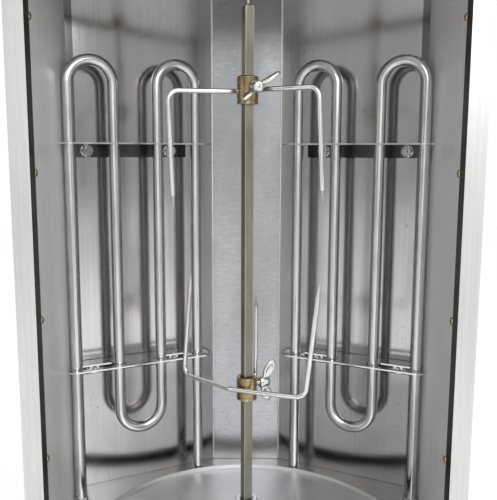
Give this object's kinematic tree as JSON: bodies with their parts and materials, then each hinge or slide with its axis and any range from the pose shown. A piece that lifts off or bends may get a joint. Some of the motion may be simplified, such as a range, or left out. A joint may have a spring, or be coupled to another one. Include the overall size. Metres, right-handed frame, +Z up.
{
  "type": "vertical rotisserie broiler",
  "caption": "Counter-top vertical broiler: open-front steel cabinet with tubular heaters on angled walls, a motor-driven spit with clamp-on forks, and a round drip pan.",
  "frame": {"origin": "centre of the footprint, on the surface that the feet stand on", "axes": "+Z up along the spit, +Y to the back, +X to the right seen from the open front"},
  "size_m": [0.38, 0.421, 0.72],
  "materials": {
    "stainless_casing": "satin stainless sheet",
    "polished_liner": "polished stainless sheet with heat and grease haze",
    "brushed_liner": "brushed stainless sheet",
    "element_tube": "heat-darkened sheathed heater tube",
    "bright_steel": "bright plated steel",
    "spit_steel": "square bar with a brownish heat tint",
    "bronze": "tarnished bronze",
    "pan_aluminium": "spun aluminium with fine scratches",
    "rubber": "matte black",
    "black_plastic": "black moulded plastic",
    "lamp_lens": "translucent red lens",
    "motor_steel": "plated motor housing"
  },
  "bodies": {
    "cabinet": {"back_panel": "brushed_liner", "base_plate": "stainless_casing", "base_shell": "stainless_casing", "cable_gland": "black_plastic", "ceiling_plate": "polished_liner", "foot_front_left": "rubber", "foot_front_right": "rubber", "foot_rear_left": "rubber", "foot_rear_right": "rubber", "front_post_left": "stainless_casing", "front_post_right": "stainless_casing", "gear_motor": "motor_steel", "heat_regulator_left": "motor_steel", "heat_regulator_right": "motor_steel", "heater_panel_left": "polished_liner", "heater_panel_right": "polished_liner", "heating_element_left": "element_tube", "heating_element_right": "element_tube", "lower_bracket_left": "polished_liner", "lower_bracket_nut_left_1": "bright_steel", "lower_bracket_nut_left_2": "bright_steel", "lower_bracket_nut_right_1": "bright_steel", "lower_bracket_nut_right_2": "bright_steel", "lower_bracket_right": "polished_liner", "motor_bracket": "stainless_casing", "pilot_lamp_left": "lamp_lens", "pilot_lamp_right": "lamp_lens", "rear_cover": "stainless_casing", "side_liner_left": "polished_liner", "side_liner_right": "polished_liner", "side_panel_left": "stainless_casing", "side_panel_right": "stainless_casing", "switch_bezel": "black_plastic", "terminal_block": "black_plastic", "top_bush": "bronze", "top_cover": "stainless_casing", "turntable_bearing": "bronze", "upper_bracket_left": "polished_liner", "upper_bracket_nut_left_1": "bright_steel", "upper_bracket_nut_left_2": "bright_steel", "upper_bracket_nut_right_1": "bright_steel", "upper_bracket_nut_right_2": "bright_steel", "upper_bracket_right": "polished_liner"},
    "turntable": {"drive_shaft": "bright_steel", "drive_hub": "stainless_casing", "drip_pan": "pan_aluminium"},
    "spit": {"spit_rod": "spit_steel"},
    "upper_fork": {"upper_collar": "bronze", "upper_fork": "bright_steel"},
    "upper_wing_screw": {"upper_wing_screw": "bright_steel"},
    "lower_fork": {"lower_collar": "bronze", "lower_fork": "bright_steel", "lower_rear_prong": "bright_steel"},
    "lower_wing_screw": {"lower_wing_screw": "bright_steel"},
    "heat_knob_left": {"heat_knob_left": "black_plastic"},
    "heat_knob_right": {"heat_knob_right": "black_plastic"},
    "switch_rocker": {"switch_rocker": "black_plastic"}
  },
  "joints": [
    {"name": "turntable_spin", "type": "hinge", "parent": "cabinet", "child": "turntable", "pos_m": [0, -0.0215, 0.142], "axis": [0, 0, 1], "continuous": true},
    {"name": "spit_lift", "type": "slide", "parent": "turntable", "child": "spit", "axis": [0, 0, 1], "range_m": [0, 0.0265]},
    {"name": "upper_fork_slide", "type": "slide", "parent": "spit", "child": "upper_fork", "axis": [0, 0, 1], "range_m": [-0.06, 0.045]},
    {"name": "lower_fork_slide", "type": "slide", "parent": "spit", "child": "lower_fork", "axis": [0, 0, 1], "range_m": [-0.072, 0.06]},
    {"name": "upper_wing_screw_turn", "type": "hinge", "parent": "upper_fork", "child": "upper_wing_screw", "pos_m": [0, -0.0215, 0.5472], "axis": [0.454, -0.891, 0], "range_deg": [0, 540]},
    {"name": "lower_wing_screw_turn", "type": "hinge", "parent": "lower_fork", "child": "lower_wing_screw", "pos_m": [0, -0.0215, 0.2926], "axis": [0.891, 0.454, 0], "range_deg": [0, 540]},
    {"name": "heat_knob_left_turn", "type": "hinge", "parent": "cabinet", "child": "heat_knob_left", "pos_m": [-0.118, -0.1865, 0.078], "axis": [0, 1, 0], "range_deg": [0, 270]},
    {"name": "heat_knob_right_turn", "type": "hinge", "parent": "cabinet", "child": "heat_knob_right", "pos_m": [0.118, -0.1865, 0.078], "axis": [0, 1, 0], "range_deg": [0, 270]},
    {"name": "switch_rock", "type": "hinge", "parent": "cabinet", "child": "switch_rocker", "pos_m": [0, -0.1865, 0.078], "axis": [-1, 0, 0], "range_deg": [0, 18]}
  ]
}
